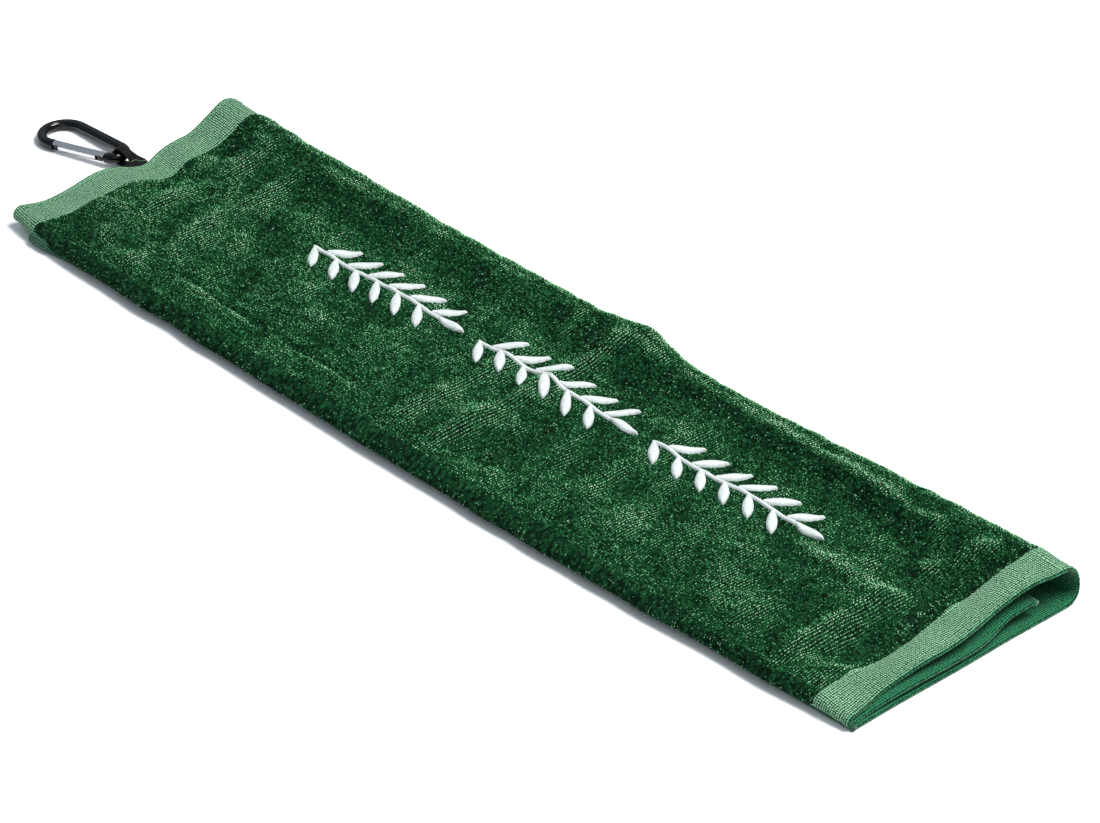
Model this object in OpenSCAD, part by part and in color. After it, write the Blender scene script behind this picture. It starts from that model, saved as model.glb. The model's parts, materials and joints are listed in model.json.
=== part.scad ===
// Golf towel folded lengthwise in thirds, with a webbing strap and a small snap clip.
// Millimetres. Origin: middle of the towel's underside. +X runs to the open end, away from
// the clip; +Y runs to the thick far fold; +Z is up.
// The cloth is one piece folded like a letter: back panel below, far fold, front panel on
// top, near fold, and the inner panel between front and back.

/* [Towel] */
// Length of the towel, hem edge to hem edge
towel_l = 552; // [450:2:650]
// Width of the folded towel, fold to fold
towel_w = 146; // [130:1:170]
// Thickness of the terry pile cloth
pile_t = 3; // [2.5:0.1:3.2]
// Width of the flat woven band at each end
hem_w = 19; // [18:1:30]
// Thickness of the flat woven band
hem_t = 2.2; // [1.6:0.1:2.4]
// Height of the far fold
far_fold_h = 20; // [18:0.5:22]
// Height of the near fold
near_fold_h = 11; // [10.5:0.1:12]
// Width of the inner panel, near fold's axis to its side hem
inner_w = 115; // [90:1:118]
// Gap between the back panel and the inner panel
layer_gap = 0.5; // [0.3:0.05:0.6]
// Diameter of the rolled side hems along the cloth's two long edges
side_hem_d = 3; // [2:0.1:3]

/* [Ornament] */
// Number of sprigs along the towel
sprigs = 3; // [1:1:4]
// Length of the whole ornament
ornament_l = 335; // [200:5:400]
// Leaf pairs on each sprig
leaf_pairs = 6; // [3:1:7]
// Length of a leaf
leaf_l = 18; // [10:0.5:20]
// Width of a leaf
leaf_w = 5.4; // [3:0.1:6]
// Height of the satin stitching over the pile
stitch_h = 0.8; // [0.4:0.1:1.2]

/* [Strap] */
// Width of the strap at the hem
strap_w = 14; // [10:0.5:16]
// Width of the strap round the clip's rod
strap_eye_w = 5; // [4:0.1:5.4]
// Thickness of the webbing, one layer
web_t = 1.05; // [0.8:0.05:1.1]
// Length of the strap from the hem to the rod
strap_l = 15; // [12:0.5:20]
// Sideways place of the strap along the hem
strap_y = 5; // [-10:1:10]

/* [Clip] */
// Length between the centres of the clip's two bends
clip_span = 33; // [30:0.5:36]
// Centre-line radius of the narrow bend, at the strap
bend_narrow_r = 6; // [5.8:0.1:6.5]
// Centre-line radius of the wide bend
bend_wide_r = 11; // [10:0.1:12]
// Diameter of the clip's rod
rod_d = 5.4; // [5:0.1:5.6]
// Width across the rod's flats
rod_flat = 4.8; // [4.6:0.1:5]
// Turn of the clip to the near side, as it lies
clip_yaw = 8.7; // [0:0.1:12]
// Dip of the clip to the floor, as it lies
clip_pitch = 2.8; // [2:0.1:4]

/* [Gate] */
// Diameter of the gate
gate_d = 5; // [4.8:0.1:5.2]
// Distance of the gate's pin from the end of the narrow bend
gate_pin_s = 2.5; // [2.5:0.1:3]
// Diameter of the gate's pin
gate_pin_d = 1.5; // [1.2:0.1:1.8]
// Radial clearance round the gate's pin
pin_clear = 0.05; // [0.02:0.01:0.08]
// Distance of the nose pin from the end of the narrow bend
nose_pin_s = 28.6; // [28.4:0.1:28.8]
// Thickness of the tongues in the gate's slots
tongue_t = 2; // [1.8:0.1:2.1]
// Width of the gate's slots
slot_w = 2.4; // [2.3:0.1:2.5]
// Diameter of the nose pin
nose_pin_d = 1.3; // [1.2:0.1:1.5]

/* [Hidden] */
$fn = 64;

// Colours of the real materials
pile_green = [0.13, 0.30, 0.19];
hem_green = [0.42, 0.60, 0.46];
thread_green = [0.24, 0.44, 0.29];
thread_white = [0.93, 0.94, 0.95];
webbing_black = [0.04, 0.04, 0.045];
gloss_black = [0.02, 0.02, 0.022];
bright_metal = [0.80, 0.81, 0.82];
spring_steel = [0.55, 0.56, 0.58];

// Along the towel
end_x = towel_l / 2;
pile_x = end_x - hem_w;

// Heights of the layers, from the floor up
back_top = pile_t;
inner_z = back_top + layer_gap;
front_z = near_fold_h - pile_t;
near_axis_z = (inner_z + near_fold_h) / 2;
near_r = near_fold_h - near_axis_z;
near_axis_y = near_r - towel_w / 2;
far_axis_z = far_fold_h / 2;
far_axis_y = towel_w / 2 - far_fold_h / 2;
back_edge_y = near_axis_y + 1.5;
inner_edge_y = near_axis_y + inner_w;

// The front panel rises in an S from its flat part to the far fold
rise_w = 30;
rise_y = far_axis_y - rise_w;
rise_h = far_fold_h - near_fold_h;
function rise(y) = let (t = min(1, max(0, (y - rise_y) / rise_w))) rise_h * t * t * (3 - 2 * t);
rise_steps = 12;
function front_line(z0) = concat([[near_axis_y, z0]],
  [for (i = [0:rise_steps]) let (y = rise_y + rise_w * i / rise_steps) [y, z0 + rise(y)]]);
function reversed(list) = [for (i = [len(list) - 1:-1:0]) list[i]];

// The flat woven bands are thinner than the pile, and centred in its thickness,
// except on the back panel, where the band lies on the floor
hem_sink = (pile_t - hem_t) / 2;

// Stitching along the bands
stitch_pitch = 4;
stitch_l = 2.6;
stitch_t = 0.3;
stitch_inset = 3;

// Ornament
ornament_x = -154;
ornament_y = 13;
ornament_gap = 9;
stem_w = 2.4;
leaf_slant = 48;

// Strap tail and its tack
tail_l = 17;
tail_z = inner_z + hem_sink + hem_t + stitch_t + 0.1;
tail_t = near_fold_h - hem_sink - hem_t - tail_z;
tack_x = [7, 15];
tack_pitch = 3.2;
tack_l = 2.4;
tack_rows = floor((strap_w - 1) / tack_pitch);
thread_w = 0.5;

// Clip
tangent_a = asin((bend_wide_r - bend_narrow_r) / clip_span);
tangent_l = sqrt(clip_span * clip_span - pow(bend_wide_r - bend_narrow_r, 2));
strap_root_gap = 1.5;
eye_x = -end_x - strap_l;
eye_clear = 1;
strap_eye_r = rod_d / 2 + eye_clear;
eye_z = strap_eye_r + web_t + 0.2;
eye_y = strap_y + 2.6;
strap_root_x = -end_x - strap_root_gap;
strap_root_z = near_fold_h - hem_sink - hem_t - web_t;
gate_end_s = 30.3;
nose_s = gate_end_s + 0.3;
hinge_slot_r = 2.6;
tongue_flat = 2.2;
tongue_r = 2.5;
tongue_back = 1.2;
tongue_half = 1.9;
tongue_h = 3.6;
nose_slot_s = 26.9;
nose_head_s = 27.2;
nose_head_y = -1.2;
nose_head_h = 2.9;
notch_clear = 0.12;
pin_inset = 0.4;
spring_bore_d = 1.1;
spring_gap = 0.02;
body_clear_r = 2.85;
bend_draw = 0.05;
bend_run = 3;
plunger_bore_d = 2.1;
plunger_d = 1.9;
plunger_l = 4.5;
plunger_gap = 0.05;
plunger_x = gate_pin_s + tongue_flat + plunger_gap;
bore_end_s = plunger_x + 10;

// ---- Cloth helpers ----

// A strip of cloth extruded along X between two stations
module run(x0, x1) {
  translate([x0, 0, 0]) rotate([90, 0, 90]) linear_extrude(x1 - x0) children();
}

// The front layer's section: flat, then rising to the far fold
module front_section(z0, t) {
  polygon(concat(front_line(z0), reversed(front_line(z0 + t))));
}

// Half a tube of cloth round an axis along X. side is +1 for the far fold, -1 for the near one
module fold_section(y, z, r, t, side) {
  translate([y, z]) intersection() {
    difference() {
      circle(r);
      circle(r - t);
    }
    translate([side > 0 ? 0 : -2 * r, -2 * r]) square([2 * r, 4 * r]);
  }
}

// A row of stitches across the towel on a flat stretch, at height z
module stitch_row(x, y0, y1, z) {
  for (y = [y0 + stitch_pitch / 2:stitch_pitch:y1 - stitch_l])
    translate([x, y, z]) cube([thread_w, stitch_l, stitch_t]);
}

module stitch_rows(y0, y1, z) {
  for (x = [-end_x + stitch_inset, end_x - stitch_inset]) stitch_row(x - thread_w / 2, y0, y1, z);
}

// ---- Back panel ----

module back_section(t) {
  translate([back_edge_y, 0]) square([far_axis_y - back_edge_y, t]);
}

module back_panel() {
  color(pile_green) run(-pile_x, pile_x) back_section(pile_t);
}

module back_hem_clip_end() {
  color(hem_green) run(-end_x, -pile_x) back_section(hem_t);
}

module back_hem_open_end() {
  color(hem_green) run(pile_x, end_x) back_section(hem_t);
}

module back_side_hem() {
  color(hem_green) run(-end_x, end_x)
    translate([back_edge_y - side_hem_d / 2, side_hem_d / 2]) circle(d = side_hem_d);
}

module back_hem_stitching() {
  color(thread_green) stitch_rows(back_edge_y, far_axis_y, hem_t);
}

// ---- Far fold ----

module far_fold() {
  color(pile_green) run(-pile_x, pile_x) fold_section(far_axis_y, far_axis_z, far_axis_z, pile_t, 1);
}

module far_fold_hem() {
  r = (far_fold_h - hem_sink) / 2;
  fold_section(far_axis_y, r, r, hem_t, 1);
}

module far_fold_hem_clip_end() {
  color(hem_green) run(-end_x, -pile_x) far_fold_hem();
}

module far_fold_hem_open_end() {
  color(hem_green) run(pile_x, end_x) far_fold_hem();
}

// ---- Front panel ----

module front_panel() {
  color(pile_green) run(-pile_x, pile_x) front_section(front_z, pile_t);
}

module front_hem_clip_end() {
  color(hem_green) run(-end_x, -pile_x) front_section(front_z + hem_sink, hem_t);
}

module front_hem_open_end() {
  color(hem_green) run(pile_x, end_x) front_section(front_z + hem_sink, hem_t);
}

module front_hem_stitching() {
  color(thread_green) stitch_rows(near_axis_y, rise_y, near_fold_h - hem_sink);
}

// A pointed leaf from two arcs, its stalk end at the origin, along +X
module leaf(l, w) {
  r = (l * l / 4 + w * w / 4) / w;
  translate([l / 2, 0]) intersection() {
    translate([0, r - w / 2]) circle(r);
    translate([0, w / 2 - r]) circle(r);
  }
}

// A sprig: a plain stem with leaves in slanted pairs and one leaf at its tip
module sprig(l) {
  pitch = (l - leaf_l) / leaf_pairs;
  translate([0, -stem_w / 2]) square([l - leaf_l / 2, stem_w]);
  for (i = [0:leaf_pairs - 1], side = [-1, 1])
    translate([pitch * (i + 0.35 + 0.25 * side), 0]) rotate(side * leaf_slant) leaf(leaf_l, leaf_w);
  translate([l - leaf_l, 0]) leaf(leaf_l, leaf_w);
}

module embroidery() {
  sprig_l = (ornament_l - (sprigs - 1) * ornament_gap) / sprigs;
  color(thread_white) for (i = [0:sprigs - 1])
    translate([ornament_x + i * (sprig_l + ornament_gap), ornament_y, near_fold_h])
      linear_extrude(stitch_h) sprig(sprig_l);
}

// ---- Near fold ----

module near_fold() {
  color(pile_green) run(-pile_x, pile_x) fold_section(near_axis_y, near_axis_z, near_r, pile_t, -1);
}

module near_fold_hem() {
  fold_section(near_axis_y, near_axis_z, near_r - hem_sink, hem_t, -1);
}

module near_fold_hem_clip_end() {
  color(hem_green) run(-end_x, -pile_x) near_fold_hem();
}

module near_fold_hem_open_end() {
  color(hem_green) run(pile_x, end_x) near_fold_hem();
}

// ---- Inner panel ----

module inner_section(t) {
  translate([near_axis_y, inner_z + (pile_t - t) / 2]) square([inner_w, t]);
}

module inner_panel() {
  color(pile_green) run(-pile_x, pile_x) inner_section(pile_t);
}

module inner_hem_clip_end() {
  color(hem_green) run(-end_x, -pile_x) inner_section(hem_t);
}

module inner_hem_open_end() {
  color(hem_green) run(pile_x, end_x) inner_section(hem_t);
}

module inner_side_hem() {
  color(hem_green) run(-end_x, end_x)
    translate([inner_edge_y + side_hem_d / 2, inner_z + pile_t / 2]) circle(d = side_hem_d);
}

module inner_hem_stitching() {
  color(thread_green) stitch_rows(near_axis_y, inner_edge_y, inner_z + hem_sink + hem_t);
}

// ---- Strap ----

// Both layers of webbing, sewn under the front panel's band
module strap_tail() {
  color(webbing_black) translate([-end_x, strap_y - strap_w / 2, tail_z]) cube([tail_l, strap_w, tail_t]);
}

// The tack that holds the tail: two rows of stitches through the band
module strap_tack() {
  color(thread_green) for (x = tack_x, i = [0:tack_rows - 1])
    translate([-end_x + x, strap_y - strap_w / 2 + 1 + tack_pitch * i, near_fold_h - hem_sink])
      cube([thread_w, tack_l, stitch_t]);
}

// The webbing's loop round the rod, and the neck that fans out to the hem
module strap_loop() {
  neck = [eye_x - strap_root_x, eye_y - strap_y, eye_z - strap_root_z];
  color(webbing_black) {
    difference() {
      union() {
        translate([eye_x, eye_y, eye_z]) rotate([90, 0, clip_yaw])
          cylinder(h = strap_eye_w, r = strap_eye_r + web_t, center = true);
        hull() {
          translate([eye_x + strap_eye_r + web_t / 2, eye_y, eye_z]) rotate([90, 0, clip_yaw])
            cylinder(h = strap_eye_w, r = web_t, center = true, $fn = 24);
          translate([strap_root_x, strap_y, strap_root_z]) rotate([90, 0, 0])
            cylinder(h = strap_w, r = web_t, center = true, $fn = 24);
        }
      }
      translate([eye_x, eye_y, eye_z]) rotate([90, 0, clip_yaw])
        cylinder(h = 3 * strap_w, r = strap_eye_r, center = true);
    }
  }
}

// ---- Clip ----

// The clip's own frame: origin in the rod at the middle of the narrow bend, where the
// strap's axis passes; +X to the wide bend, +Y to the gate's side
module clip_place() {
  translate([eye_x, eye_y, eye_z]) rotate([0, 0, 180 + clip_yaw]) rotate([0, clip_pitch, 0]) children();
}

// The gate's frame: origin at the end of the narrow bend on the gate's side, +X along the
// gate to the nose, +Y outwards
module gate_place() {
  clip_place() translate([bend_narrow_r, 0, 0]) rotate(tangent_a) translate([0, bend_narrow_r, 0]) children();
}

// The rod's section: round, with flats above and below. slim is how much it is drawn in
module rod_section(slim) {
  intersection() {
    circle(d = rod_d - 2 * slim);
    square([rod_d + 1, rod_flat - 2 * slim], center = true);
  }
}

// A bend's ends run a little way into the straight rod, which is a hair thicker
module rod_bend(r, from_a, turn) {
  rotate(from_a) rotate_extrude(angle = turn) translate([r, 0]) rod_section(bend_draw);
}

module rod_straight(l) {
  rotate([90, 0, 90]) linear_extrude(l) rod_section(0);
}

// The clip's bent rod, open between the hinge and the nose
module clip_frame() {
  color(gloss_black) {
    clip_place() {
      translate([bend_narrow_r, 0, 0]) difference() {
        rod_bend(bend_narrow_r, 90 + tangent_a, 180 - 2 * tangent_a + bend_run);
        rotate(tangent_a) translate([gate_pin_s, bend_narrow_r, 0])
          cylinder(h = 2 * rod_d, r = body_clear_r, center = true);
      }
      translate([bend_narrow_r, 0, 0]) rotate(-tangent_a) translate([0, -bend_narrow_r, 0])
        rod_straight(tangent_l);
      translate([bend_narrow_r + clip_span, 0, 0])
        rod_bend(bend_wide_r, -90 - tangent_a - bend_run, 180 + 2 * tangent_a + 2 * bend_run);
    }
    gate_place() {
      hinge_tongue();
      translate([nose_s, 0, 0]) rod_straight(tangent_l - nose_s);
      nose_tongue();
    }
  }
}

// The flat tongue in the gate's hinge slot, bored for the pin, with the flat that the
// plunger presses on
module hinge_tongue() {
  difference() {
    translate([0, 0, -tongue_t / 2]) linear_extrude(tongue_t) intersection() {
      union() {
        translate([gate_pin_s, 0]) circle(tongue_r);
        translate([-tongue_back, -tongue_half]) square([gate_pin_s + tongue_back, tongue_h]);
      }
      translate([-gate_d, -gate_d]) square([gate_d + gate_pin_s + tongue_flat, 2 * gate_d]);
    }
    translate([gate_pin_s, 0, 0]) cylinder(h = 2 * tongue_t, d = gate_pin_d + 2 * pin_clear, center = true);
  }
}

// The nose's flat hook in the gate's other slot, notched from inside for the nose pin
module nose_tongue() {
  notch_r = nose_pin_d / 2 + notch_clear;
  translate([0, 0, -tongue_t / 2]) linear_extrude(tongue_t) difference() {
    translate([nose_head_s, nose_head_y]) square([nose_s - nose_head_s + 0.2, nose_head_h]);
    translate([nose_pin_s, 0]) circle(notch_r);
    translate([nose_pin_s - notch_r, -rod_d]) square([2 * notch_r, rod_d]);
  }
}

// ---- Gate ----

module gate_pin() {
  color(bright_metal) gate_place() translate([gate_pin_s, 0, 0])
    cylinder(h = gate_d - pin_inset, d = gate_pin_d, center = true);
}

module gate() {
  color(bright_metal) gate_place() difference() {
    intersection() {
      rotate([0, 90, 0]) cylinder(h = gate_end_s, d = gate_d);
      union() {
        translate([gate_pin_s, 0, 0]) cylinder(h = gate_d, r = gate_d / 2, center = true);
        translate([gate_pin_s, -gate_d, -gate_d]) cube([gate_end_s, 2 * gate_d, 2 * gate_d]);
      }
    }
    translate([-1, -gate_d, -slot_w / 2]) cube([1 + gate_pin_s + hinge_slot_r, 2 * gate_d, slot_w]);
    translate([nose_slot_s, -gate_d, -slot_w / 2]) cube([gate_end_s, 2 * gate_d, slot_w]);
    translate([gate_pin_s, 0, 0]) cylinder(h = 2 * gate_d, d = gate_pin_d, center = true);
    translate([nose_pin_s, 0, 0]) cylinder(h = 2 * gate_d, d = nose_pin_d, center = true);
    translate([gate_pin_s, 0, 0]) rotate([0, 90, 0])
      cylinder(h = bore_end_s - gate_pin_s, d = plunger_bore_d);
  }
}

module nose_pin() {
  color(bright_metal) gate_place() translate([nose_pin_s, 0, 0])
    cylinder(h = gate_d - pin_inset, d = nose_pin_d, center = true);
}

// A closed sleeve of the spring's outer and inner size, behind the plunger
module gate_spring() {
  color(spring_steel) gate_place() translate([plunger_x + plunger_l + spring_gap, 0, 0]) rotate([0, 90, 0])
    difference() {
      cylinder(h = bore_end_s - plunger_x - plunger_l - 2 * spring_gap, d = plunger_d);
      translate([0, 0, -1]) cylinder(h = bore_end_s, d = spring_bore_d);
    }
}

module gate_plunger() {
  color(spring_steel) gate_place() translate([plunger_x, 0, 0]) rotate([0, 90, 0])
    cylinder(h = plunger_l, d = plunger_d);
}

back_panel();
back_hem_clip_end();
back_hem_open_end();
back_side_hem();
back_hem_stitching();
far_fold();
far_fold_hem_clip_end();
far_fold_hem_open_end();
front_panel();
front_hem_clip_end();
front_hem_open_end();
front_hem_stitching();
embroidery();
near_fold();
near_fold_hem_clip_end();
near_fold_hem_open_end();
inner_panel();
inner_hem_clip_end();
inner_hem_open_end();
inner_side_hem();
inner_hem_stitching();
strap_tail();
strap_tack();
strap_loop();
clip_frame();
gate_pin();
gate();
nose_pin();
gate_spring();
gate_plunger();
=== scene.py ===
"""Looks of the golf towel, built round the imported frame.

Lengths in the tables are millimetres; meshes are scaled to metres when they are made.
The cloth is one mid-surface, laid out by segment (back, far, front, near, inner) in the
order in which the real sheet runs. `s` goes across the towel in that order, and `x` along it.
"""
import json
import math

import bmesh
import bpy
import numpy as np
from mathutils import Matrix, Vector


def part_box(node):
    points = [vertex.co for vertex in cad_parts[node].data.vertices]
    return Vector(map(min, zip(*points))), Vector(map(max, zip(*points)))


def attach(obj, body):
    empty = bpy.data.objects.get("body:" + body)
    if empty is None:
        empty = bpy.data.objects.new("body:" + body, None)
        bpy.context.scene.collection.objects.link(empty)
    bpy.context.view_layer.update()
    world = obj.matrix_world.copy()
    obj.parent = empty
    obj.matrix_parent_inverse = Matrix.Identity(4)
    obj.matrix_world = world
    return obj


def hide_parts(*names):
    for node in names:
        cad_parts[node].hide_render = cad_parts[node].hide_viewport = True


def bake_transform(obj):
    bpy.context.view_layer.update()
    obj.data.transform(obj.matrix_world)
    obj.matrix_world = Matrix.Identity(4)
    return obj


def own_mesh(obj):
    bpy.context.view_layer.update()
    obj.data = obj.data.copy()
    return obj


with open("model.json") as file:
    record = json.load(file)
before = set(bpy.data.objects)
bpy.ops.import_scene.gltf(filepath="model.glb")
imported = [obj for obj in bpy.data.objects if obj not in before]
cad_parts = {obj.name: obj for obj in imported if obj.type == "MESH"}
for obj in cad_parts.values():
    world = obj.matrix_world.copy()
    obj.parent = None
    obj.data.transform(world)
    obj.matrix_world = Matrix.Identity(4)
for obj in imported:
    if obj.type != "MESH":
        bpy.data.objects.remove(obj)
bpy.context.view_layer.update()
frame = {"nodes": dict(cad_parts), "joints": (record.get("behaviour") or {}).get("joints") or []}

MM = 0.001


# ---- Places from the frame, in millimetres ----

def low(node):
    return np.array(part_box(node)[0]) / MM


def high(node):
    return np.array(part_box(node)[1]) / MM


END_X = high("back_hem_open_end")[0]
PILE_X = high("back_panel")[0]
FAR_Y = high("back_panel")[1]
NEAR_Y = low("front_panel")[1]
BACK_EDGE = low("back_panel")[1]
INNER_EDGE = high("inner_panel")[1]
NEAR_H = high("near_fold")[2]
SIDE_HEM_R = (high("back_side_hem")[2] - low("back_side_hem")[2]) / 2
INNER_MID = (low("inner_panel")[2] + high("inner_panel")[2]) / 2
STRAP_Y = (low("strap_tail")[1] + high("strap_tail")[1]) / 2
JOINT = {joint["name"]: joint for joint in frame["joints"]}


def joint_place(name):
    return np.array(JOINT[name]["pos_m"]) / MM


def smooth(t):
    """0 up to t = 0, 1 from t = 1 on, and a smooth rise between them."""
    t = np.clip(t, 0, 1)
    return t * t * (3 - 2 * t)


def curve(points, x):
    """A smooth line through (x, value) points, level outside them."""
    px, py = np.array(points, float).T
    slope = np.gradient(py, px)
    k = np.clip(np.searchsorted(px, x) - 1, 0, len(px) - 2)
    h = px[k + 1] - px[k]
    t = np.clip((x - px[k]) / h, 0, 1)
    leave, leave_slope = 2 * t**3 - 3 * t**2 + 1, t**3 - 2 * t**2 + t
    reach, reach_slope = -2 * t**3 + 3 * t**2, t**3 - t**2
    return (leave * py[k] + leave_slope * h * slope[k]
            + reach * py[k + 1] + reach_slope * h * slope[k + 1])


def hump(v, centre, width):
    """1 at the centre, falling smoothly to 0 past the width."""
    return np.exp(-((v - centre) / width) ** 2)


def wander(seed, scale, size, count=14):
    """A slow random height over (x, y), as a sum of seeded waves."""
    rng = np.random.default_rng(seed)
    angle, phase = rng.uniform(0, 2 * np.pi, (2, count))
    length = scale * rng.uniform(0.6, 1.9, count)

    def height(x, y):
        total = 0
        for a, p, l in zip(angle, phase, length):
            total = total + np.sin((x * np.cos(a) + y * np.sin(a)) * 2 * np.pi / l + p)
        return size * total / math.sqrt(count / 2)
    return height


# ---- The lie of the cloth ----

# Thickness of the bands, and of the pile outside and inside the mid-surface
BAND_T = 2.0
PILE_OUT, PILE_IN, NEAR_PILE_IN = 1.0, 1.2, 0.6

# Lines along the towel, as (x, value): heights of the folds, how far they stand out, how far the back
# panel's edge is drawn in, and how far the front panel's middle stands off the plain rise between the folds
FAR_HEIGHT = [(-276, 21.5), (-255, 20.5), (-225, 19), (-180, 18.5), (-120, 17.5), (-70, 17.5),
              (-30, 18), (-8, 18.2), (14, 20.5), (30, 17), (50, 15.2), (85, 15.2), (120, 16),
              (160, 17.3), (200, 18.2), (235, 19.2), (276, 18.6)]
FAR_BULGE = [(-276, -0.5), (-240, 1), (-200, 1.2), (-120, 0.6), (-60, 0), (-20, -0.5), (14, 2.5),
             (40, 0.3), (80, -0.8), (150, 0.5), (210, 1.2), (276, 1)]
NEAR_BULGE = [(-276, -4.5), (-262, -1.5), (-240, 0), (-190, 1.5), (-120, 2.4), (-20, 3.4), (80, 3.6),
              (150, 2), (200, 0), (240, -1), (276, -3.5)]
NEAR_HEIGHT = [(-276, 10.4), (-240, 10.6), (-200, 11.2), (-140, 10.8), (-60, 11), (0, 11.2), (60, 10.7),
               (140, 10.8), (200, 10.6), (232, 10.4), (257, 9.6), (268, 7.8), (276, 6.9)]
BACK_EDGE_IN = [(-276, -1.9), (-250, -1.9), (-215, -0.3), (-170, 1.0), (0, 1.0), (220, 1.0), (276, 2.5)]
CENTRE_DIP = [(-276, -0.2), (-250, 0.5), (-200, 0.8), (-150, 0.2), (0, 0.3), (60, -0.3), (150, 0.4),
              (276, -0.4)]

# Ridges (height above 0) and valleys (below 0): x0, y0, x1, y1, half width, height
RELIEF = [
    (-17, -60, -17, 62, 6, 1.3), (8, -62, 10, 62, 6, 2.0), (81, -58, 81, 42, 7, 0.8),
    (20, 61, 110, 57, 5, 1.2), (110, 57, 208, 50, 5, 1.6), (-197, 58, -60, 61, 5, 0.9),
    (-232, -55, -236, 50, 7, 1.1), (-202, -58, -206, 40, 7, 1.2), (-218, -62, -192, -64, 5, 1.2),
    (-250, 20, -222, 44, 8, 0.9), (-256, -40, -240, -20, 7, 0.8), (227, -62, 227, 2, 6, 1.6),
    (175, 2, 229, 0, 5, 1.2), (241, 56, 225, 28, 5, 1.6), (229, -62, 256, -45, 5, 1.1),
    (32, -45, 36, -5, 11, -0.9), (34, 36, 40, 52, 9, -1.7), (65, -30, 66, -5, 8, -0.8),
    (243, -50, 244, 26, 7, -1.0), (-175, -50, -52, -52, 2.2, -0.7), (60, 50, 200, 41, 5, -0.8),
    (-120, 10, -60, 40, 16, 0.5), (110, -40, 180, -35, 14, 0.5),
]
RELIEF_GAIN = 1.55
lumps = wander(3, 34, 0.5)
ripples = wander(9, 14, 0.2)
edge_wave = wander(17, 30, 0.5)
fold_lumps = wander(29, 20, 0.28)


def relief(x, y):
    """The front panel's ridges, valleys and small unevenness."""
    total = lumps(x, y) + ripples(x, y)
    for x0, y0, x1, y1, width, height in RELIEF:
        length2 = (x1 - x0) ** 2 + (y1 - y0) ** 2
        t = np.clip(((x - x0) * (x1 - x0) + (y - y0) * (y1 - y0)) / length2, 0, 1)
        d2 = (x - x0 - t * (x1 - x0)) ** 2 + (y - y0 - t * (y1 - y0)) ** 2
        total = total + RELIEF_GAIN * height * np.exp(-d2 / width**2)
    return total


def at_band(x):
    """0 on the pile, 1 on the flat bands."""
    return smooth((np.abs(x) - PILE_X + 1) / 3)


# The flat panels stop this far short of the folds' axes, so that they clear each other opened
CLEAR = 0.9
FAR_LINE = FAR_Y - CLEAR


def far_bulge(x):
    """How far the far fold stands out past a plain half round."""
    return CLEAR + curve(FAR_BULGE, x) + 0.4 * edge_wave(x, 300)


def near_bulge(x):
    """How far the near fold stands out past its plain line, or in where it is below 0."""
    return curve(NEAR_BULGE, x) - 0.5 * edge_wave(x, 0)


def near_y(x):
    """The near fold's line, drawn in at the towel's ends. Where the fold stands out, only its arc does."""
    return NEAR_Y + CLEAR - np.minimum(near_bulge(x), 0)


def near_top(x):
    """Height of the mid-surface where the front panel meets the near fold."""
    return curve(NEAR_HEIGHT, x) - PILE_OUT - 0.5 + 0.3 * fold_lumps(x, 90) * (1 - at_band(x))


def far_top(x):
    """Height of the mid-surface where the front panel meets the far fold."""
    return curve(FAR_HEIGHT, x) - 1.5 + fold_lumps(x, 0)


def back_z(x):
    """Height of the back panel's mid-surface."""
    return 1.5 - 0.4 * at_band(x)


def near_bottom(x):
    """Height of the mid-surface where the inner panel meets the near fold."""
    return np.minimum(INNER_MID - 0.5 * at_band(x), near_top(x) - 2.6)


def strap_dip(x, y):
    """1 at the clip end where the strap leaves, under the front band."""
    return hump(y, STRAP_Y, 10) * smooth((-x - 246) / 14)


def strap_bed(x, y):
    """1 where the inner panel is pressed down under the strap's tail."""
    return np.exp(-((y - STRAP_Y) / 13) ** 4) * smooth((-x - 243) / 14)


def clip_humps(x, y):
    """The front band's two swellings at the clip end, one on each side of the strap."""
    side = hump(y, -19, 13) + 1.1 * hump(y, 30, 13)
    return side * smooth((-x - 236) / 34)


def open_lift(x, y):
    """The front band stands up off the inner one at the open end."""
    at_end = smooth((x - 246) / 26)
    valley = 3.2 * hump(y, -30, 22) * hump(x, 251, 11)
    return at_end * (2.6 * hump(y, 14, 32) + 1.6 * hump(y, 46, 12)) - valley


def front_z(x, y):
    """The front panel's height: a low stretch from the near fold, then the rise to the far fold."""
    across = (y - near_y(x)) / (FAR_LINE - near_y(x))
    press = smooth((x - 240) / 34)
    rise_width = 30 + 22 * press
    rise = smooth((y - FAR_Y + rise_width) / rise_width)
    window = smooth(across / 0.1) * smooth((1 - across) / 0.09)
    base = near_top(x) + (far_top(x) - near_top(x)) * rise
    edge_lift = press * (NEAR_H - 1.5 - near_top(x)) * smooth(across / 0.4) * (1 - rise)
    body = relief(x, y) * (1 - 0.75 * at_band(x)) + curve(CENTRE_DIP, x)
    ends = 1.9 * clip_humps(x, y) - 1.3 * strap_dip(x, y) + open_lift(x, y)
    return base + edge_lift + window * (body + ends)


def inner_z(x, y):
    """The inner panel's height: level past the near fold, and lifted at its free edge's open end."""
    depth = y - near_y(x)
    lift = smooth((y - 12) / 34) * (0.5 + 3.6 * smooth((x - 225) / 40))
    base = near_bottom(x) + (INNER_MID - 0.3 * at_band(x) - near_bottom(x)) * smooth(depth / 34)
    return base + lift - 1.5 * strap_bed(x, y)


SLIP_FROM = 215
SLIP_RUN = 61


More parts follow.
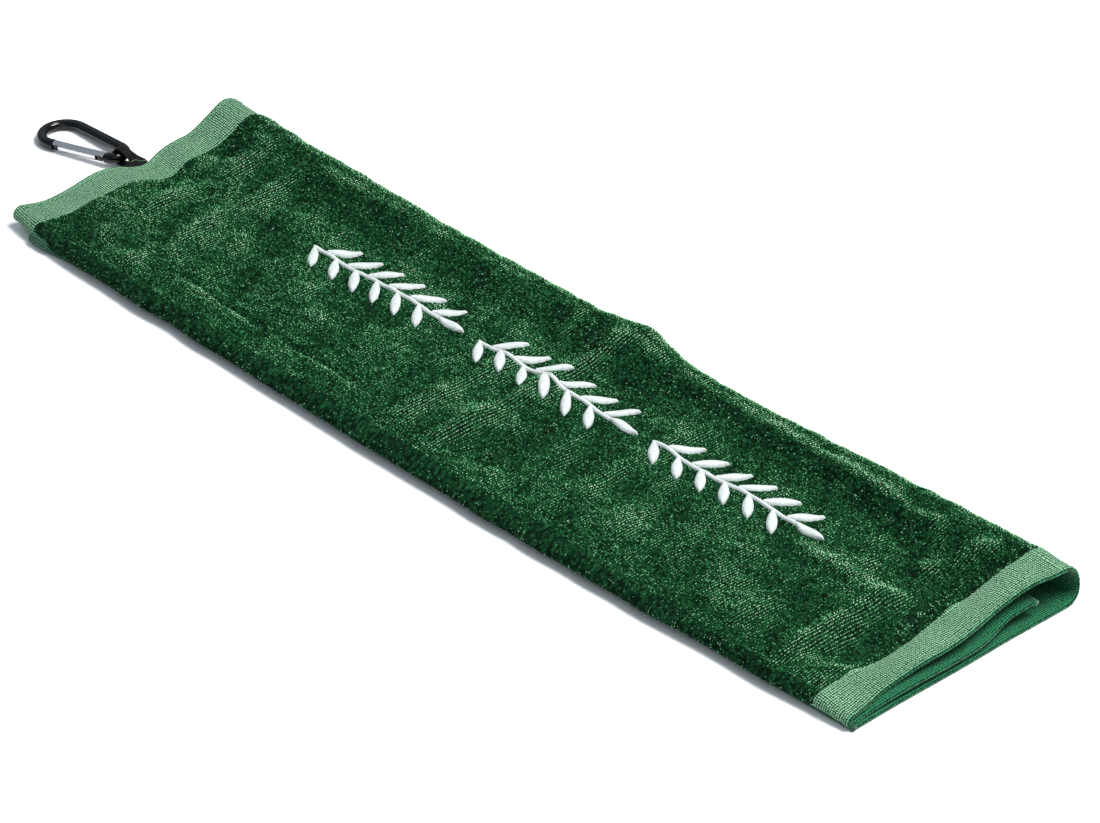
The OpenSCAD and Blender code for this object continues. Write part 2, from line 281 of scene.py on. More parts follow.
def slip(x, y):
    """How far the ends of the cloth stand off the straight line, along x."""
    clip_side = smooth((-x - SLIP_FROM) / SLIP_RUN)
    open_side = smooth((x - SLIP_FROM) / SLIP_RUN)
    dip = 4.0 * hump(y, STRAP_Y, 9)
    corner = -4.0 * smooth((-y - 50) / 20) - 2.5 * smooth((y - 50) / 20)
    clip = clip_side * (dip + corner - 1.0 + 1.2 * np.sin(y / 11))
    skew = open_side * (-3.6 + 0.018 * y + 1.1 * np.sin(y / 16 + 1) + 3.0 * smooth((-y - 40) / 28))
    drawn_in = -4.2 * open_side * hump(y, 27, 21)
    pushed_out = 2.6 * hump(y, -30, 20) * hump(x, 254, 12)
    return clip + skew + drawn_in + pushed_out


# Flat length of each segment, across the towel
LENGTH = {"back": FAR_Y - BACK_EDGE, "far": 27, "front": FAR_Y - NEAR_Y, "near": 13,
          "inner": INNER_EDGE - NEAR_Y}
ORDER = ["back", "far", "front", "near", "inner"]
START = {name: sum(LENGTH[n] for n in ORDER[:i]) for i, name in enumerate(ORDER)}


def back_share(x):
    """How much of the front panel's slip the back panel has."""
    return np.where(x > 0, 0.1, 0.4)


def flat_back(s, x):
    edge = BACK_EDGE + curve(BACK_EDGE_IN, x)
    y = edge + (FAR_LINE - edge) * s / LENGTH["back"]
    drawn_in = 18 * smooth((-x - 232) / 44) * smooth((-y - 22) / 50)
    return x + slip(x, y) * back_share(x) + drawn_in, y, back_z(x)


def flat_front(s, x):
    y = FAR_LINE + (near_y(x) - FAR_LINE) * s / LENGTH["front"]
    return x + slip(x, y), y, front_z(x, y)


def flat_inner(s, x):
    y = near_y(x) + (INNER_EDGE - near_y(x)) * s / LENGTH["inner"]
    open_side = smooth((x - SLIP_FROM) / SLIP_RUN)
    share = 0.25 + 0.35 * smooth(1 - s / 30) + 0.45 * open_side * smooth((y - 5) / 30)
    notch = 2.6 * strap_bed(x, y) * smooth((-x - 260) / 14)
    return x + slip(x, y) * share + notch, y, inner_z(x, y)


def round_far(s, x):
    angle = np.pi * np.clip(s / LENGTH["far"], 0, 1)
    low_z, high_z = back_z(x), far_top(x)
    r = (high_z - low_z) / 2
    square = 1 - 0.2 * smooth((x - 235) / 35)
    y = FAR_LINE + (r + far_bulge(x)) * np.abs(np.sin(angle)) ** square
    z = (low_z + high_z) / 2 - r * np.sign(np.cos(angle)) * np.abs(np.cos(angle)) ** square
    least = back_share(x)
    share = least + (1 - least) * smooth(s / LENGTH["far"])
    return x + slip(x, FAR_LINE) * share, y, z


def near_droop(x):
    """How far the near fold's outermost line hangs below its middle."""
    return 1.9 - 1.3 * smooth((np.abs(x) - 245) / 28)


def round_near(s, x):
    angle = np.pi * s / LENGTH["near"]
    low_z, high_z = near_bottom(x), near_top(x)
    r = (high_z - low_z) / 2
    y = near_y(x) - (1.25 * r + CLEAR + np.maximum(near_bulge(x), 0)) * np.sin(angle)
    z = (low_z + high_z) / 2 + r * np.cos(angle) - near_droop(x) * np.abs(np.sin(angle)) ** 1.5
    share = 1 - 0.4 * smooth(s / LENGTH["near"])
    return x + slip(x, near_y(x)) * share, y, z


SHAPES = {"back": flat_back, "far": round_far, "front": flat_front, "near": round_near,
          "inner": flat_inner}


def mid(segment, s, x):
    """Points on the cloth's mid-surface."""
    return np.stack(np.broadcast_arrays(*SHAPES[segment](s, x)), -1)


def lie(segment, s, x, step=0.25):
    """The mid-surface, its outward normal and its two directions, across and along."""
    end = LENGTH[segment]
    across = mid(segment, np.minimum(s + step, end), x) - mid(segment, np.maximum(s - step, 0), x)
    along = mid(segment, s, x + step) - mid(segment, s, x - step)
    across /= np.linalg.norm(across, axis=-1, keepdims=True)
    along /= np.linalg.norm(along, axis=-1, keepdims=True)
    normal = np.cross(across, along)
    normal /= np.linalg.norm(normal, axis=-1, keepdims=True)
    return mid(segment, s, x), normal, across, along


# ---- Meshes ----

def make(name, verts, faces, uv=None, uv2=None, flat=False):
    """A mesh object from millimetre points and faces that all have the same number of corners."""
    verts, faces = np.asarray(verts, float).reshape(-1, 3), np.asarray(faces)
    mesh = bpy.data.meshes.new(name)
    mesh.vertices.add(len(verts))
    mesh.vertices.foreach_set("co", (verts * MM).astype(np.float32).ravel())
    mesh.loops.add(faces.size)
    mesh.loops.foreach_set("vertex_index", faces.astype(np.int32).ravel())
    mesh.polygons.add(len(faces))
    mesh.polygons.foreach_set("loop_start", np.arange(0, faces.size, faces.shape[1], dtype=np.int32))
    for layer, values in (("cloth", uv), ("tuft", uv2)):
        if values is not None:
            data = mesh.uv_layers.new(name=layer).data
            data.foreach_set("uv", np.asarray(values, np.float32).reshape(-1, 2)[faces.ravel()].ravel())
    mesh.update(calc_edges=True)
    if not flat:
        mesh.polygons.foreach_set("use_smooth", np.ones(len(faces), bool))
    piece = bpy.data.objects.new(name, mesh)
    bpy.context.scene.collection.objects.link(piece)
    return piece


def grid_faces(n, m, first=0, flip=False):
    i, j = np.meshgrid(np.arange(n - 1), np.arange(m - 1), indexing="ij")
    a = (first + i * m + j).ravel()
    faces = np.stack([a, a + m, a + m + 1, a + 1], -1)
    return faces[:, ::-1] if flip else faces


def shell_faces(n, m):
    """A closed shell: an outer n x m grid, an inner one after it, and the rim that joins them."""
    top, under = np.arange(n * m).reshape(n, m), np.arange(n * m).reshape(n, m) + n * m
    loop = np.concatenate([top[0, :-1], top[:-1, -1], top[-1, :0:-1], top[:0:-1, 0]])
    below = np.concatenate([under[0, :-1], under[:-1, -1], under[-1, :0:-1], under[:0:-1, 0]])
    rim = np.stack([loop, np.roll(loop, -1), np.roll(below, -1), below], -1)
    return np.concatenate([grid_faces(n, m), grid_faces(n, m, n * m, True), rim])


EDGE_STATIONS = (0.042, 0.14, 0.315, 0.56)


def stations(a, b, step, fine_at=()):
    """Evenly spaced places, with a few extra ones close to a free edge."""
    places = list(np.linspace(a, b, max(2, int(round(abs(b - a) / step)) + 1)))
    for edge in fine_at:
        side = 1 if abs(edge - a) < abs(edge - b) else -1
        places += [edge + side * gap for gap in EDGE_STATIONS]
    return np.array(sorted(set(places)))


def rounded(x, half):
    """Share of the thickness left near the towel's free ends."""
    gap = np.clip((END_X - np.abs(x)) / half, 0, 1)
    return np.sqrt(np.clip(1 - (1 - gap) ** 2, 0.03, 1))


def unevenness(u, v):
    """Slow unevenness of the woven bands; the weave itself is in the material."""
    first = np.sin(2 * np.pi * (u * 0.82 + v * 0.57) / 7.3)
    second = np.sin(2 * np.pi * (u * 0.4 - v * 0.9) / 9.1)
    return 0.06 * first * second


loops_noise = wander(41, 2.3, 0.10, 22)


def cloth_piece(name, segment, x0, x1, s_step, x_step, body, nodes, slot, band):
    """One closed slab of cloth over the whole width of a segment."""
    ends = [e for e in (x0, x1) if abs(abs(e) - END_X) < 0.01]
    s = stations(0, LENGTH[segment], s_step)
    x = stations(x0, x1, x_step, ends)
    S, X = np.meshgrid(s, x, indexing="ij")
    points, normal, _, _ = lie(segment, S, X)
    u, v = START[segment] + S, X
    if band:
        half = BAND_T / 2 * rounded(X, BAND_T / 2)
        bead = 0.35 * hump(np.abs(X), END_X - 1.7, 1.0)
        groove = -0.2 * hump(np.abs(X), END_X - 4.4, 0.6)
        tuck = 0.5 * smooth((PILE_X - np.abs(X)) / 1.5)
        out = half + (unevenness(u, v) + bead + groove) * rounded(X, BAND_T / 2) - tuck
        under = half + unevenness(u, -v) * rounded(X, BAND_T / 2) - tuck
    else:
        edge = 0.55 + 0.45 * smooth((PILE_X - np.abs(X)) / 2)
        out = PILE_OUT * edge + loops_noise(X, S + START[segment])
        pile_in = NEAR_PILE_IN if segment == "near" else PILE_IN
        under = pile_in * edge + 1.2 * loops_noise(X, S + 500 + START[segment])
    outer = points + normal * out[..., None]
    inner = points - normal * under[..., None]
    uv = np.stack([u, v], -1).reshape(-1, 2) * MM
    # On a band, painted light and shade: 1 on the outer face, falling to 0 at the end edges, and 0 on the
    # inner face
    painted_lit_outer = smooth((END_X - np.abs(X) - 0.3) / 0.9).ravel()
    outside = np.concatenate([painted_lit_outer, np.zeros_like(painted_lit_outer)])
    side_uv = np.stack([np.zeros_like(outside), outside], -1)
    piece = make(name, np.concatenate([outer.reshape(-1, 3), inner.reshape(-1, 3)]),
                 shell_faces(len(s), len(x)), np.concatenate([uv, uv]), side_uv)
    piece.data.set_sharp_from_angle(angle=math.radians(50))
    settle(piece, body, nodes, slot)
    return piece


def paint(piece, finish):
    piece.data.materials.clear()
    piece.data.materials.append(finish)


def settle(piece, body, nodes, slot, finish=None):
    """Rides the piece on its body, or bakes its transform in place when given a blend; hides its CAD nodes
    and gives it its slot's material, or the finish given.
    """
    if isinstance(body, str):
        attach(piece, body)
    else:
        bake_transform(piece)
    if nodes:
        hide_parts(*nodes)
    paint(piece, finish or MATERIAL[slot])


# Painted light: the key light's side across the floor; then the pile's row pitch, and its pitch along a row
PAINTED_LIGHT_FROM = np.array([0.55, 0.6, 0])
ROW = 1.45
TUFT_PITCH = ROW * 0.66
patches = wander(57, 26, 0.1)


def tufts(name, segment, x0, x1, body, height, seed, keep):
    """The pile: rows of small closed points that run across the towel, on the cloth's outer face."""
    rng = np.random.default_rng(seed)
    length = LENGTH[segment]
    rows = np.arange(math.ceil(x0 / ROW + 0.5) * ROW, x1 - 0.3, ROW)
    s, x = np.meshgrid(np.arange(ROW * 0.3, length, TUFT_PITCH), rows, indexing="ij")
    s, x = s.ravel(), x.ravel()
    corner = smooth((-x - 200) / 30) * smooth((s + START[segment] - START["near"] + 45) / 40)
    s = s + rng.uniform(-0.45, 0.45, s.size) * TUFT_PITCH
    x = x + rng.normal(0, 0.07, x.size) + rng.uniform(-0.5, 0.5, x.size) * ROW * corner
    ok = (s > 0) & (s < length) & keep(segment, s, x)
    s, x, corner = s[ok], x[ok], corner[ok]
    points, normal, across, along = lie(segment, s, x)
    n = len(s)
    turn = rng.normal(0.0, 0.1, n) + 1.4 * corner
    d1 = across * np.cos(turn)[:, None] + along * np.sin(turn)[:, None]
    d2 = np.cross(normal, d1)
    size = rng.uniform(0.7, 1.25, (n, 1))
    tall = height * rng.uniform(0.5, 1.2, (n, 1))
    lean = d1 * rng.normal(0.1, 0.3, (n, 1)) + d2 * rng.normal(0, 0.1, (n, 1))
    sunk = 0.35
    root = points + normal * (PILE_OUT - sunk)
    a = root + d1 * 0.75 * size
    b = root - d1 * 0.65 * size + d2 * 0.36 * size
    c = root - d1 * 0.65 * size - d2 * 0.36 * size
    tip = root + normal * (sunk + tall) + lean
    verts = np.stack([a, b, c, tip], 1).reshape(-1, 3)
    base = np.arange(n)[:, None] * 4
    faces = np.concatenate([base + f for f in ([0, 2, 1], [0, 1, 3], [1, 2, 3], [2, 0, 3])])
    uv = np.repeat(np.stack([START[segment] + s, x], -1) * MM, 4, 0)
    # Painted light and shade: lighter facing the key light's side and on the relief's crests; patches adds
    # slow random tone
    height_here = relief(x, points[:, 1]) if segment == "front" else 0
    painted_light_and_patches = 0.45 + 2.2 * (normal @ PAINTED_LIGHT_FROM) + 0.24 * height_here + 0.8 * patches(x, s + START[segment])
    own = rng.uniform(0, 1, n) ** 1.2
    # On sides turned from the light, in the painted shade, a few tufts are made bright at random
    lone = 0.45 * own**3 * smooth((0.2 - painted_light_and_patches) / 0.6)
    shade = np.repeat(np.clip(0.54 * own + lone + 0.46 * np.clip(painted_light_and_patches, -0.15, 1.15), 0, 1), 4)
    level = np.tile([0.0, 0.0, 0.0, 1.0], n)
    piece = make(name, verts, faces, uv, np.stack([shade, level], -1), flat=True)
    settle(piece, body, [], "pile", MATERIAL["tufts"])
    return piece


# ---- Materials ----

def node(tree, kind, inputs=None, **values):
    """A shader node with its settings, and its inputs as numbers or as sockets that feed them."""
    made = tree.nodes.new(kind)
    for key, value in values.items():
        setattr(made, key, value)
    for key, value in (inputs or {}).items():
        if isinstance(value, bpy.types.NodeSocket):
            tree.links.new(value, made.inputs[key])
        else:
            made.inputs[key].default_value = value
    return made


def mix(tree, share, a, b, blend="MIX"):
    """A colour mix. a and b are colours or sockets."""
    made = node(tree, "ShaderNodeMix", {0: share, 6: a, 7: b}, data_type="RGBA", blend_type=blend)
    return made.outputs[2]


def math_node(tree, operation, a, b=0.0):
    return node(tree, "ShaderNodeMath", {0: a, 1: b}, operation=operation).outputs[0]


def ramp(tree, value, stops):
    made = node(tree, "ShaderNodeValToRGB", {0: value})
    line = made.color_ramp.elements
    while len(line) > 1:
        line.remove(line[-1])
    line[0].position, line[0].color = stops[0][0], (*stops[0][1], 1)
    for place, colour in stops[1:]:
        line.new(place).color = (*colour, 1)
    return made.outputs[0]


def srgb(r, g, b):
    """A linear colour from 0-255 screen values."""
    return tuple(((c / 255 + 0.055) / 1.055) ** 2.4 if c > 10 else c / 255 / 12.92 for c in (r, g, b))


def material(name, **sockets):
    """A new material with constant values on its shader's sockets."""
    made = bpy.data.materials.new(name)
    made.use_nodes = True
    tree = made.node_tree
    shader = tree.nodes["Principled BSDF"]
    for key, value in sockets.items():
        shader.inputs[key.replace("_", " ")].default_value = value
    return made, tree, shader


def in_millimetres(tree, source):
    made = node(tree, "ShaderNodeVectorMath", {0: source, 1: (1000, 1000, 1000)}, operation="MULTIPLY")
    return made.outputs[0]


def cloth_uv(tree):
    """Cloth coordinates in millimetres."""
    return in_millimetres(tree, node(tree, "ShaderNodeUVMap", uv_map="cloth").outputs[0])


def tuft_uv(tree):
    """A tuft's shade and level, or on a band 1 outside and 0 inside in the second one, for painted light and
    shade.
    """
    source = node(tree, "ShaderNodeUVMap", uv_map="tuft").outputs[0]
    parts = node(tree, "ShaderNodeSeparateXYZ", {0: source})
    return parts.outputs[0], parts.outputs[1]


def noise(tree, vector, scale, detail=2.0, rough=0.5):
    return node(tree, "ShaderNodeTexNoise", {"Vector": vector, "Scale": scale, "Detail": detail,
                                            "Roughness": rough}).outputs[0]


BLACK, WHITE = (0, 0, 0), (1, 1, 1)


def pile_start(name):
    """The shader that both pile materials share, its cloth coordinates and a slow drift of deep green."""
    made, tree, shader = material(name, Roughness=0.95, Sheen_Weight=0.02, Sheen_Roughness=0.4,
                                  Specular_IOR_Level=0.06, Sheen_Tint=(*srgb(150, 205, 160), 1))
    uv = cloth_uv(tree)
    # The ground is kept dark as painted shade, where it shows between the tufts and loops
    ground = ramp(tree, noise(tree, uv, 0.035, 3.0), [(0.3, srgb(3, 36, 15)), (0.7, srgb(10, 50, 24))])
    return made, tree, shader, uv, ground


def tuft_material():
    """Velour tufts: a shade each, partly random and partly painted light, from a deep gap to a pale fleck;
    painted shade at the root.
    """
    made, tree, shader, _, ground = pile_start("pile_tufts")
    shade, level = tuft_uv(tree)
    own = ramp(tree, shade, [(0.0, srgb(0, 6, 1)), (0.25, srgb(0, 38, 11)), (0.42, srgb(28, 104, 52)),
                             (0.6, srgb(96, 174, 118)), (0.8, srgb(156, 220, 168)),
                             (1.0, srgb(204, 242, 206))])
    tip = mix(tree, 0.06, own, ground)
    # Painted shade at the root: the colour darkens almost to black towards each tuft's base
    root = mix(tree, 1.0, tip, (0.03, 0.045, 0.035, 1), "MULTIPLY")
    colour = mix(tree, math_node(tree, "MULTIPLY", level, 0.95), root, tip)
    tree.links.new(colour, shader.inputs["Base Color"])
    return made


def pile_material():
    """The pile's ground and the inside faces: low loops with painted shade in the gaps between them."""
    made, tree, shader, uv, ground = pile_start("pile_ground")
    cells = node(tree, "ShaderNodeTexVoronoi", {"Vector": uv, "Scale": 0.62}).outputs[0]
    gaps = ramp(tree, cells, [(0.2, BLACK), (0.75, WHITE)])
    lit_share = ramp(tree, noise(tree, uv, 0.16, 3.0, 0.6), [(0.35, BLACK), (0.7, WHITE)])
    lit = mix(tree, lit_share, ground, (*srgb(30, 86, 48), 1))
    fine = math_node(tree, "MULTIPLY", noise(tree, uv, 0.9, 2.0, 0.6), 0.6)
    loops = mix(tree, fine, lit, (*srgb(4, 40, 18), 1))
    # Painted shade in the gaps between the loops
    colour = mix(tree, gaps, loops, (*srgb(0, 20, 8), 1))
    tree.links.new(colour, shader.inputs["Base Color"])
    bump = node(tree, "ShaderNodeBump", {"Height": cells, "Strength": 1.0, "Distance": 0.0012}, invert=True)
    tree.links.new(bump.outputs[0], shader.inputs["Normal"])
    return made


# The wave texture's period at a scale of 1
WAVE_PERIOD = math.pi / 10


def wave(tree, vector, angle, pitch):
    """Stripes across the cloth, 0 to 1, pitch millimetres apart."""
    turned = node(tree, "ShaderNodeVectorRotate", {"Vector": vector, "Angle": angle}, rotation_type="Z_AXIS")
    made = node(tree, "ShaderNodeTexWave", {"Vector": turned.outputs[0], "Scale": WAVE_PERIOD / pitch,
                                           "Distortion": 0.6, "Detail": 1.0, "Detail Scale": 2.0},
                wave_type="BANDS", bands_direction="X")
    return made.outputs[1]


def band_material(name, inside):
    """The flat woven bands: pale floats in a fine diagonal order over a deeper green, and a soft nap."""
    made, tree, shader = material(name, Roughness=0.9, Sheen_Weight=0.3, Sheen_Roughness=0.45,
                                  Specular_IOR_Level=0.1, Sheen_Tint=(*srgb(205, 225, 205), 1))
    uv = cloth_uv(tree)
    rib = wave(tree, uv, -0.62, 1.5)
    dots = node(tree, "ShaderNodeTexVoronoi", {"Vector": uv, "Scale": 0.84, "Randomness": 0.2}).outputs[0]
    _, outside = tuft_uv(tree)
    drift = ramp(tree, noise(tree, uv, 0.05), [(0.3, srgb(92, 146, 110)), (0.7, srgb(116, 170, 132))])
    # Painted light and shade: outer faces take the paler drift, crests and flecks; inner faces and end edges
    # the inside colour
    base = mix(tree, outside, (*inside, 1), drift)
    crest = math_node(tree, "MULTIPLY", math_node(tree, "MULTIPLY", rib, 0.4), outside)
    base = mix(tree, crest, base, (*srgb(160, 200, 168), 1))
    flecks = ramp(tree, noise(tree, uv, 1.1, 2.0, 0.7), [(0.5, BLACK), (0.75, (0.7, 0.7, 0.7))])
    pale = math_node(tree, "MULTIPLY", flecks, outside)
    base = mix(tree, pale, base, (*srgb(176, 214, 176), 1))
    gaps = ramp(tree, dots, [(0.26, BLACK), (0.46, WHITE)])
    tree.links.new(mix(tree, gaps, base, (*srgb(0, 40, 20), 1)), shader.inputs["Base Color"])
    height = math_node(tree, "SUBTRACT", math_node(tree, "MULTIPLY", rib, 0.4), dots)
    bump = node(tree, "ShaderNodeBump", {"Height": height, "Strength": 0.8, "Distance": 0.0005})
    tree.links.new(bump.outputs[0], shader.inputs["Normal"])
    return made


def thread_material(name, dark, light, rough, pitch, sheen=0.2, specular=0.4):
    """Spun thread: fine twist lines along the cloth coordinates."""
    made, tree, shader = material(name, Roughness=rough, Sheen_Weight=sheen, Specular_IOR_Level=specular)
    uv = cloth_uv(tree)
    lines = wave(tree, uv, 0.6, pitch)
    drift = noise(tree, uv, 0.6, 3.0)
    both = math_node(tree, "MULTIPLY", lines, drift)
    tree.links.new(ramp(tree, both, [(0.1, dark), (0.6, light)]), shader.inputs["Base Color"])
    bump = node(tree, "ShaderNodeBump", {"Height": lines, "Strength": 0.5, "Distance": 0.00015})
    tree.links.new(bump.outputs[0], shader.inputs["Normal"])
    return made


def metal_material(name, colour, rough, metallic, wear=0.06, specular=0.5):
    """Enamel or bright metal, with fine unevenness in its roughness."""
    made, tree, shader = material(name, Metallic=metallic, Specular_IOR_Level=specular)
    at = in_millimetres(tree, node(tree, "ShaderNodeTexCoord").outputs["Object"])
    drift = noise(tree, at, 0.7, 4.0)
    tree.links.new(ramp(tree, drift, [(0.3, tuple(c * 0.85 for c in colour)), (0.7, colour)]),
                   shader.inputs["Base Color"])
    span = node(tree, "ShaderNodeMapRange", {"Value": drift, "To Min": rough, "To Max": rough + wear})
    tree.links.new(span.outputs[0], shader.inputs["Roughness"])
    bump = node(tree, "ShaderNodeBump", {"Height": noise(tree, at, 0.5, 2.0), "Strength": 0.01,
                                         "Distance": 0.0001})
    tree.links.new(bump.outputs[0], shader.inputs["Normal"])
    return made


MATERIAL = {
    "pile": pile_material(),
    "tufts": tuft_material(),
    # Second colour: painted shade on the bands' inner faces and end edges, and all over the side rolls,
    # which have no tuft map
    "hem": band_material("hem_weave", srgb(30, 120, 80)),
    "side_roll": band_material("rolled_hem", srgb(58, 112, 88)),
    "thread_green": thread_material("green_thread", srgb(40, 96, 60), srgb(120, 172, 132), 0.8, 0.5),
    "thread_white": thread_material("white_thread", srgb(158, 168, 168), srgb(216, 220, 218), 0.42, 0.42,
                                    sheen=0.15),
    "webbing": thread_material("webbing", srgb(3, 3, 3), srgb(24, 24, 25), 0.65, 1.0, sheen=0.01,
                               specular=0.12),
    "gloss_black": metal_material("black_enamel", srgb(4, 4, 5), 0.07, 0.0, specular=0.28),
    "bright_metal": metal_material("satin_silver", (0.62, 0.63, 0.64), 0.2, 1.0, wear=0.02),
    "spring_steel": metal_material("drawn_steel", (0.5, 0.5, 0.52), 0.3, 1.0),
}


# ---- Cloth pieces ----

# The two bodies that a fold joins, and the heights between which it turns from one to the other. The first
# body is the one that opens, which sets the way that the fold turns at 180 degrees.
FAR_BLEND = ("front", "back", (0, FAR_Y * MM, 0.0155), (0, FAR_Y * MM, 0.0020))
NEAR_BLEND = ("inner", "front", (0, NEAR_Y * MM, 0.0050), (0, NEAR_Y * MM, 0.0090))
NEAR_OPEN_BLEND = ("inner", "front", (0, NEAR_Y * MM, 0.0036), (0, NEAR_Y * MM, 0.0060))
BODY = {"back": "back", "far": FAR_BLEND, "front": "front", "near": NEAR_BLEND, "inner": "inner"}
PANEL_NODE = {"back": "back_panel", "far": "far_fold", "front": "front_panel", "near": "near_fold",
              "inner": "inner_panel"}
BAND_STEPS = (0.9, 0.75)
PILE_STEP = 1.5
TUCK = 1
HEM_NODE = {"back": "back_hem", "far": "far_fold_hem", "front": "front_hem", "near": "near_fold_hem",
            "inner": "inner_hem"}
S_STEP = {"back": 1.8, "far": 1.2, "front": 1.4, "near": 0.9, "inner": 1.7}
cloth = {}
for segment in ORDER:
    panel = PANEL_NODE[segment]
    cloth[panel] = cloth_piece(panel + "_cloth", segment, -PILE_X, PILE_X, S_STEP[segment], PILE_STEP,
                               BODY[segment], [panel], "pile", False)
    for side, x0, x1 in (("clip_end", -END_X, -PILE_X + TUCK), ("open_end", PILE_X - TUCK, END_X)):
        hem = HEM_NODE[segment] + "_" + side
        body = NEAR_OPEN_BLEND if segment == "near" and side == "open_end" else BODY[segment]
        cloth[hem] = cloth_piece(hem + "_cloth", segment, x0, x1, *BAND_STEPS, body, [hem], "hem", True)


# ---- Ornament: three leafy sprigs in satin stitch ----

SPRIGS, SPRIG_GAP, LEAF_PAIRS = 3, 9, 6
LEAF_L, LEAF_W, STEM_W = 18, 5.4, 2.4
SLANT = math.radians(48)
ORN_X = (low("embroidery")[0], high("embroidery")[0])
ORN_Y = 13.0
SPRIG_L = (ORN_X[1] - ORN_X[0] - (SPRIGS - 1) * SPRIG_GAP) / SPRIGS
STITCH_H = 1.35


def sprig_parts():
    """Each part is (x, y, turn, length, width) of a leaf, or of a stem where width is below zero."""
    found = []
    pitch = (SPRIG_L - LEAF_L) / LEAF_PAIRS
    for k in range(SPRIGS):
        x0 = ORN_X[0] + k * (SPRIG_L + SPRIG_GAP)
        found.append((x0, ORN_Y, 0.0, SPRIG_L - LEAF_L / 2, -STEM_W))
        for i in range(LEAF_PAIRS):
            for side in (-1, 1):
                found.append((x0 + pitch * (i + 0.35 + 0.25 * side), ORN_Y, side * SLANT, LEAF_L, LEAF_W))
        found.append((x0 + SPRIG_L - LEAF_L, ORN_Y, 0.0, LEAF_L, LEAF_W))
    return found


PARTS = sprig_parts()


def part_half(t, width):
    """Half width of a leaf or stem at share t of its length."""
    if width < 0:
        blunt = np.sqrt(np.clip(1 - (2 * t - 1) ** 40, 0, 1))
        return -width / 2 * np.clip(blunt, 0.05, 1)
    return width / 2 * np.clip(4 * t * (1 - t), 0.004, 1) ** 0.8


def in_ornament(x, y):
    """True for places under the stitching, where no pile stands."""
    inside = np.zeros(np.shape(x), bool)
    for x0, y0, turn, length, width in PARTS:
        a = (x - x0) * math.cos(turn) + (y - y0) * math.sin(turn)
        b = -(x - x0) * math.sin(turn) + (y - y0) * math.cos(turn)
        t = np.clip(a / length, 0, 1)
        inside |= (np.abs(a - length / 2) < length / 2) & (np.abs(b) < part_half(t, width) + 0.25)
    return inside


def front_s(x, y):
    """How far across the cloth a place on the front panel is, from the far fold."""
    return (FAR_LINE - y) / (FAR_LINE - near_y(x)) * LENGTH["front"]


# Pitch of the satin stitch's threads, and of the mesh along a leaf
THREAD, SATIN_STEP = 0.5, 0.17


def satin(x0, y0, turn, length, width, rise):
    """One satin-stitched part: domed, with a ridge for each thread, lying on the front panel."""
    n, m = int(length / SATIN_STEP), 7
    t = np.linspace(0.004, 0.996, n)
    across = np.linspace(-1, 1, m)
    T, A = np.meshgrid(t, across, indexing="ij")
    half = part_half(T, width)
    ridge = 0.5 + 0.5 * np.cos(2 * np.pi * T * length / THREAD + 0.5 * A)
    wobble = 1 + 0.05 * np.sin(T * length * 12.6 + x0)
    a, b = T * length, A * half * wobble
    x = x0 + a * math.cos(turn) - b * math.sin(turn)
    y = y0 + a * math.sin(turn) + b * math.cos(turn)
    points, normal, _, _ = lie("front", front_s(x, y), x)
    dome = np.sqrt(np.clip(1 - A**2, 0, 1)) * np.minimum(1, half / 0.9)
    up = PILE_OUT - 0.3 + (rise + 0.3) * dome ** 0.8 + 0.07 * ridge * dome
    outer = points + normal * up[..., None]
    inner = points + normal * (PILE_OUT - 0.5)
    verts = np.concatenate([outer.reshape(-1, 3), inner.reshape(-1, 3)])
    uv = np.stack([T * length, A * half], -1).reshape(-1, 2) * MM
    return verts, shell_faces(n, m), np.concatenate([uv, uv])


def joined(name, parts, body, nodes, slot):
    """One piece from several (verts, faces, uv) shells."""
    count, verts, faces, uvs = 0, [], [], []
    for v, f, uv in parts:
        verts.append(v)
        faces.append(f + count)
        uvs.append(uv)
        count += len(v)
    piece = make(name, np.concatenate(verts), np.concatenate(faces), np.concatenate(uvs))
    settle(piece, body, nodes, slot)


stems = [satin(*p, STITCH_H * 0.8) for p in PARTS if p[4] < 0]
leaves = [satin(*p, STITCH_H + 0.05 * (i % 3)) for i, p in enumerate(PARTS) if p[4] > 0]
joined("ornament_satin", stems + leaves, "front", ["embroidery"], "thread_white")


# ---- Pile ----

def off_ornament(segment, s, x):
    """True where a tuft may stand."""
    if segment != "front":
        return np.ones(len(s), bool)
    y = FAR_LINE + (near_y(x) - FAR_LINE) * s / LENGTH["front"]
    return ~in_ornament(x, y)


PILE_H = 0.62
pile = {}
for segment, seed, height in (("far", 5, PILE_H), ("front", 6, PILE_H), ("near", 7, PILE_H / 2)):
    pile[segment] = tufts(segment + "_pile", segment, -PILE_X, PILE_X, BODY[segment], height, seed,
                          off_ornament)


# ---- Stitching ----

def tube_faces(n, k):
    """The sides of a tube of n rings with k points each."""
    i, j = np.meshgrid(np.arange(n - 1), np.arange(k), indexing="ij")
    a, b = (i * k + j).ravel(), (i * k + (j + 1) % k).ravel()
    return np.stack([a, b, b + k, a + k], -1)


STITCH_R = 0.28


